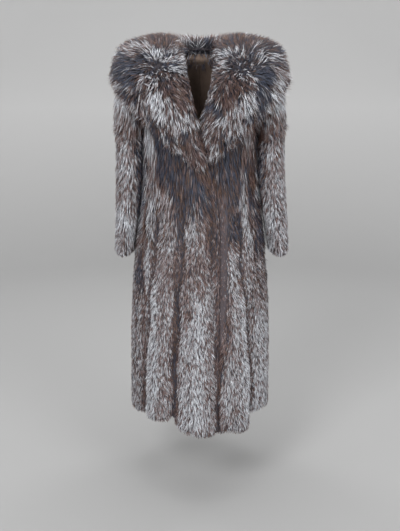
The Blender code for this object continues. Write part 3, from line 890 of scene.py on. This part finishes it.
def nearest(points, centres):
    """For each point, the number of the centre that is nearest to it."""
    tree = KDTree(len(centres))
    for number, centre in enumerate(centres.tolist()):
        tree.insert(centre, number)
    tree.balance()
    return np.array([tree.find(point)[1] for point in points.tolist()])


# An edge that the fur keeps to: where along the edge a point is, how far out it is, how
# far the tips may pass, and whether a hair past it is turned aside or cut short
Edge = namedtuple("Edge", "along out past turns")


def rim_of(pelt, edge, step):
    """The pelt's own rim: how far out it lies, as a function of points."""
    points = array_of(pelt.data.vertices, "co", 3).astype(float)
    spots, outs = edge.along(points), edge.out(points)
    bins = ((spots - spots.min()) / step).astype(int)
    best = np.full(bins.max() + 1, -np.inf)
    np.maximum.at(best, bins, outs)
    best = np.maximum(best, np.maximum(np.roll(best, 1), np.roll(best, -1)))
    filled = np.isfinite(best)
    centres = spots.min() + (np.arange(len(best)) + 0.5) * step
    return lambda where: np.interp(edge.along(where), centres[filled], best[filled])


def kept_in(pelt, edges, root, bend, tip, rng):
    """The hairs' middles and tips, kept from reaching too far past the pelt's edges."""
    for edge, step in edges:
        rim = rim_of(pelt, edge, step)
        limit = rim(root) + edge.past * rng.uniform(0.3, 1.3, len(root))
        start, end = edge.out(root), edge.out(tip)
        over = end - limit
        if edge.turns is not None:
            tip = tip - np.maximum(over, 0)[:, None] * np.array(edge.turns)
            half_over = edge.out(bend) - limit
            bend = bend - np.maximum(half_over, 0)[:, None] * np.array(edge.turns)
        else:
            share = np.where(over > 0, (limit - start) / np.maximum(end - start, 1e-6), 1.0)
            share = np.clip(share, 0.2, 1.0)[:, None]
            bend = root + (bend - root) * share
            tip = root + (tip - root) * share
    return bend, tip


# The locks of a pelt: turn, lift and spread in degrees, length, place of the tip, and tone
Locks = namedtuple("Locks", "turn lift spread length tip tone")


def lay_locks(pelt, name, kind, side, count, rng):
    """The places where the locks of one pelt start, and the locks."""
    coat, habit = FUR[kind], HABITS[kind]
    centres, normals, _ = scatter(pelt, count, rng)
    stand = habit.stand(centres, side)
    turn = rng.normal(0, 1, count) * stand.spread
    lift = stand.lift + rng.normal(0, LOCK_LIFT_SPREAD, count)
    length = stand.length * rng.uniform(*LOCK_LENGTHS, count)
    flow = turned(habit.flow(centres, normals, side), normals, turn)
    rise = np.radians(lift)[:, None]
    reach = flow * np.cos(rise * LOCK_RISE) + normals * np.sin(rise * LOCK_RISE)
    tip = centres + reach * length[:, None]

    look = habit.look(centres * 0.5 + tip * 0.5, side)
    silvery = rng.random(count) < look.silver
    for edge, step in habit.edges(side, name):
        # the brown fringe, which the head of a sleeve doesn't have
        if edge.turns is None and "head" not in name:
            inside = rim_of(pelt, edge, step)(centres) - edge.out(centres)
            share = FRINGE_SHARE * (1 - ease((inside - FRINGE) / FRINGE_FADE))
            fringe = rng.random(count) < share
            silvery &= ~fringe
            look = Look(look.silver, np.where(fringe, FRINGE_TONE, look.dark))
    bright = coat.bright + SILVER_GAIN * look.silver + rng.normal(0, SILVER_SPREAD, count)
    tone = np.where(silvery, bright, look.dark + rng.normal(0, DARK_SPREAD, count))
    return centres, Locks(turn, lift, stand.spread, length, tip, tone)


def grow(pelt, name, kind, side, seed):
    """The fur of one pelt, as one mesh."""
    rng = np.random.default_rng(seed)
    coat, habit = FUR[kind], HABITS[kind]
    points, normals, area = scatter(pelt, coat.hairs, rng)
    lock_count = int(area / coat.lock**2 * coat.stretch)
    centres, locks = lay_locks(pelt, name, kind, side, lock_count, rng)
    squeeze = np.array((1.0, 1.0, coat.stretch))
    own = nearest(points * squeeze, centres * squeeze)

    # each hair follows its lock, with a turn, a lift and a length of its own
    count = len(points)
    length = locks.length[own] * rng.uniform(*HAIR_LENGTHS, count)
    way = habit.flow(points, normals, side)
    turn = locks.turn[own] + rng.normal(0, HAIR_TURN, count) * locks.spread[own]
    way = turned(way, normals, turn)
    rise = np.radians(locks.lift[own] + rng.normal(0, HAIR_LIFT_SPREAD, count))[:, None]
    first = way * np.cos(rise) + normals * np.sin(rise)
    second = way * np.cos(rise * TIP_RISE) + normals * np.sin(rise * TIP_RISE)
    root = points - normals * ROOT_DEPTH
    bend = root + first * length[:, None] * 0.5
    tip = bend + second * length[:, None] * 0.5

    # and its tip is drawn to the tip of the lock
    gather = rng.uniform(*GATHERS, count)[:, None]
    tip = tip * (1 - gather) + locks.tip[own] * gather
    halfway = (root + locks.tip[own]) / 2
    bend = bend * (1 - gather * BEND_GATHER) + halfway * gather * BEND_GATHER
    bend, tip = kept_in(pelt, habit.edges(side, name), root, bend, tip, rng)

    # a ribbon, rolled a little about its length
    roll = rng.normal(0, HAIR_ROLL, count)
    across = unit(np.cross(tip - root, normals))
    face = unit(np.cross(across, tip - root))
    across = across * np.cos(roll)[:, None] + face * np.sin(roll)[:, None]
    half = across * (coat.width / 2 * rng.uniform(*HAIR_WIDTHS, count)[:, None])
    slim = half * BEND_WIDTH
    ribbon = np.stack([root - half, root + half, bend - slim, bend + slim, tip], axis=1)
    tones = locks.tone[own] + rng.normal(0, HAIR_SPREAD, count)
    return hair_mesh(name, ribbon.reshape(-1, 3), np.clip(tones, 0.01, 0.99), coat.bend)


def hair_mesh(name, points, tones, middle):
    """Every hair is a quad and a triangle on five points."""
    count = len(tones)
    start = np.arange(count)[:, None] * HAIR_POINTS
    corners = (start + np.array((0, 1, 3, 2, 2, 3, 4))).ravel()
    mesh = bpy.data.meshes.new(name)
    mesh.vertices.add(len(points))
    mesh.vertices.foreach_set("co", points.astype(np.float32).ravel())
    mesh.loops.add(len(corners))
    mesh.loops.foreach_set("vertex_index", corners.astype(np.int32))
    mesh.polygons.add(2 * count)
    first = np.arange(count)[:, None] * HAIR_CORNERS + np.array((0, 4))
    mesh.polygons.foreach_set("loop_start", first.ravel().astype(np.int32))
    mesh.polygons.foreach_set("use_smooth", np.ones(2 * count, bool))
    mesh.update(calc_edges=True)
    spots = mesh.uv_layers.new(name="OFBake")
    sideways = np.array((-1, 1, 1, -1, -1, 1, 0)) * MAP_HALF
    lengthways = np.array((0.02, 0.02, middle, middle, middle, middle, 0.98))
    tones = np.clip(tones, MAP_HALF * 2, 1 - MAP_HALF * 2)
    places = np.empty((count, HAIR_CORNERS, 2), np.float32)
    places[..., 0] = tones[:, None] + sideways
    places[..., 1] = lengthways
    spots.data.foreach_set("uv", places.ravel())
    mesh.materials.append(HAIR)
    mesh.validate()
    fur = bpy.data.objects.new(name, mesh)
    bpy.context.scene.collection.objects.link(fur)
    return fur


# ---------------------------------------------------------------- the whole coat
# Each of these gives an edge and the step at which the pelt's rim is measured along it:
# degrees round the body or the sleeve, or metres down the front
def hem_edge():
    return Edge(round_angle, lambda points: -points[:, 2], 0.007, None), 5.0


def front_edge(side, past, down_to=-2.0):
    """The edge down the front or along the V of the collar, past the centre."""
    return (
        Edge(
            lambda points: points[:, 2],
            lambda points: np.where(
                (points[:, 1] < 0) & (points[:, 2] > down_to), -side * points[:, 0], -1.0
            ),
            past,
            (-side, 0, 0),
        ),
        0.02,
    )


def cuff_edge(side, name):
    past = 0.016 if "head" in name else 0.007
    return (
        Edge(lambda points: sleeve_place(points, side), lambda points: -points[:, 2], past, None),
        15.0,
    )


# How each kind of piece wears its fur, all functions: the way that the fur lies, its
# Stand and its Look at any points, and the edges that it keeps to
Habit = namedtuple("Habit", "flow stand look edges")
BODY_HABIT = Habit(
    body_flow, body_stand, body_look,
    lambda side, name: [hem_edge()] + ([front_edge(side, 0.001)] if "front" in name else []),
)
SLEEVE_HABIT = Habit(
    sleeve_flow, sleeve_stand, sleeve_look,
    lambda side, name: [cuff_edge(side, name)],
)
COLLAR_HABIT = Habit(
    collar_flow, collar_stand, collar_look,
    lambda side, name: [front_edge(side, 0.007, -0.17)],
)
HABITS = {
    "front": BODY_HABIT,
    "back": BODY_HABIT,
    "sleeve_head": SLEEVE_HABIT,
    "sleeve": SLEEVE_HABIT,
    "collar": COLLAR_HABIT,
}
# Each pelt's slot, and its flat width and length and its area as cut, in metres
Cut = namedtuple("Cut", "slot flat area")
CUTS = {
    "front": Cut("body_fur", (0.5, 1.25), 0.38),
    "back": Cut("body_fur", (0.5, 1.25), 0.36),
    "sleeve_head": Cut("sleeve_fur", (0.4, 0.24), 0.06),
    "sleeve": Cut("sleeve_fur", (0.4, 0.42), 0.135),
    "collar": Cut("collar_fur", (0.6, 0.62), 0.28),
}
# The way that the body's walls face. Only they have grooves. A sleeve faces its own side.
OUTWARD = {"front": (0, -1, 0), "back": (0, 1, 0)}


def build_coat():
    for side_name, side in SIDES.items():
        for number, kind in enumerate(FUR):
            node, cut = f"{kind}_{side_name}", CUTS[kind]
            pelt_name, seed = f"{kind}_pelt_{side_name}", SEEDS[side_name] + number
            if kind == "collar":
                pelt = collar_pelt(node, pelt_name)
            else:
                pelt = panel_pelt(node, pelt_name, OUTWARD.get(kind, (side, 0, 0)))
            if kind in OUTWARD:
                press_in(pelt, crease_depth)
            close_middle(pelt)
            fur = grow(pelt, f"{kind}_hair_{side_name}", kind, side, seed)
            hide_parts(node)
            for piece in (pelt, fur):
                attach(piece, "root")


def build_studio():
    """A pale bowl: a round floor that sweeps up to a wall on all sides."""
    finish = Finish("pale studio paper")
    place = finish.node("ShaderNodeTexCoord", {}, {}, 3)
    height = finish.node("ShaderNodeSeparateXYZ", {}, {0: place}, 2)
    # painted shade: the same paper is made darker on the floor and lighter up the wall, to even
    # out the stronger light that the lamps above throw on the floor
    lit = ((height - FLOOR_HEIGHT) / 1.2).clamped()
    paper = finish.mix(lit, (0.37, 0.37, 0.37, 1.0), (0.62, 0.62, 0.62, 1.0))
    finish.surface(Base_Color=paper, Roughness=0.95)
    deselect_all()
    bpy.ops.mesh.primitive_circle_add(
        vertices=STUDIO_SIDES, radius=STUDIO_RADIUS - SWEEP_RADIUS, fill_type="NGON",
        location=(0, 0, FLOOR_HEIGHT),
    )
    floor = bpy.context.object
    floor.name = "studio_sweep"
    bpy.ops.object.mode_set(mode="EDIT")
    bpy.ops.mesh.select_mode(type="EDGE")
    bpy.ops.mesh.select_all(action="DESELECT")
    bpy.ops.object.mode_set(mode="OBJECT")
    for edge in floor.data.edges:
        edge.select = True
    bpy.ops.object.mode_set(mode="EDIT")
    last_radius = STUDIO_RADIUS - SWEEP_RADIUS
    last_height = 0.0
    for step in range(1, SWEEP_STEPS + 2):
        if step <= SWEEP_STEPS:
            turn = math.pi / 2 * step / SWEEP_STEPS
            radius = STUDIO_RADIUS - SWEEP_RADIUS * (1 - math.sin(turn))
            height = SWEEP_RADIUS * (1 - math.cos(turn))
        else:
            radius, height = STUDIO_RADIUS, STUDIO_HEIGHT
        bpy.ops.mesh.extrude_edges_move(
            TRANSFORM_OT_translate={"value": (0, 0, height - last_height)}
        )
        grown = radius / last_radius
        bpy.ops.transform.resize(
            value=(grown, grown, 1), center_override=(0, 0, FLOOR_HEIGHT)
        )
        last_radius, last_height = radius, height
    bpy.ops.object.mode_set(mode="OBJECT")
    bpy.ops.object.transform_apply(location=True, rotation=True, scale=True)
    bpy.ops.object.shade_smooth()
    floor.data.materials.append(finish.material)


Lamp = namedtuple("Lamp", "name place aim size power")
LAMPS = (
    Lamp("key_softbox", (-1.5, -2.9, 1.9), (0, 0, -0.5), 1.6, 98),
    Lamp("fill_softbox", (2.1, -2.6, 1.2), (0, 0, -0.6), 1.8, 50),
    Lamp("top_softbox", (0.0, 0.3, 2.5), (0, 0, -0.3), 2.2, 34),
    Lamp("back_left_softbox", (-2.4, 2.2, 1.6), (0, 0, -0.5), 1.8, 35),
    Lamp("back_right_softbox", (2.4, 2.2, 1.6), (0, 0, -0.5), 1.8, 35),
)


def build_lights():
    for lamp in LAMPS:
        light = bpy.data.lights.new(lamp.name, "AREA")
        light.shape = "DISK"
        light.size = lamp.size
        light.energy = lamp.power
        holder = bpy.data.objects.new(lamp.name, light)
        holder.location = lamp.place
        aim = Vector(lamp.aim) - Vector(lamp.place)
        holder.rotation_euler = aim.to_track_quat("-Z", "Y").to_euler()
        bpy.context.scene.collection.objects.link(holder)
    world = bpy.data.worlds.new("studio air")
    bpy.context.scene.world = world
    world.use_nodes = True
    background = world.node_tree.nodes["Background"]
    background.inputs["Color"].default_value = (1, 1, 1, 1)
    background.inputs["Strength"].default_value = 0.55


def build_camera():
    lens = bpy.data.cameras.new("camera")
    lens.lens = LENS
    lens.sensor_width = SENSOR
    camera = bpy.data.objects.new("camera", lens)
    camera.location = CAMERA_PLACE
    camera.rotation_euler = (math.radians(90 - CAMERA_PITCH), 0, 0)
    bpy.context.scene.collection.objects.link(camera)
    bpy.context.scene.camera = camera


bpy.context.scene.view_settings.view_transform = "Standard"
build_camera()
build_studio()
build_lights()
build_coat()
